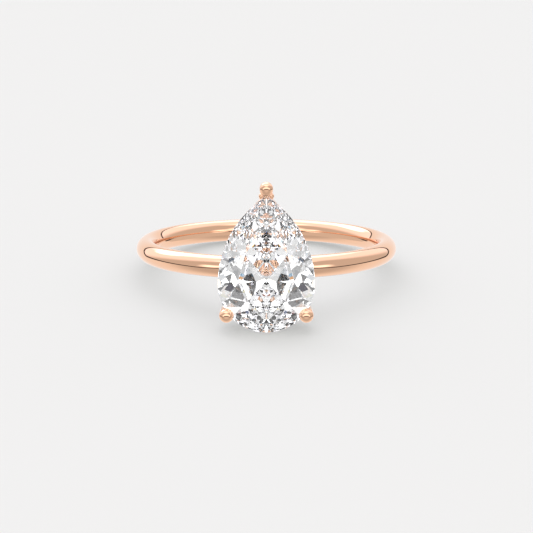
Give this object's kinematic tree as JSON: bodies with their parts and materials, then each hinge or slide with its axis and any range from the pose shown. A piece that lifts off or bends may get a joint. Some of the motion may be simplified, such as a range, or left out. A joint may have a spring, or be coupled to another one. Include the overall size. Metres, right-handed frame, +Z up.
{
  "type": "engagement ring",
  "caption": "Solitaire ring: a round-wire shank with a pegged claw head on two rails that holds a pear-cut stone, lying on the back of the shank and the round end of the stone.",
  "frame": {"origin": "centre of the finger bore", "axes": "+Z up from the table that the ring lies on, +Y from the stone towards the back of the shank, +X to the right as seen from the stone's side"},
  "size_m": [0.0194, 0.0242, 0.0108],
  "materials": {
    "shank_gold": "polished rose gold",
    "head_gold": "polished rose gold",
    "claw_gold": "polished rose gold",
    "stone": "polished facets"
  },
  "bodies": {
    "root": {"shank": "shank_gold", "head_peg": "head_gold", "base_rail": "head_gold", "gallery_rail": "head_gold", "tip_claw": "claw_gold", "left_claw": "claw_gold", "right_claw": "claw_gold", "pear_stone": "stone"}
  },
  "joints": []
}
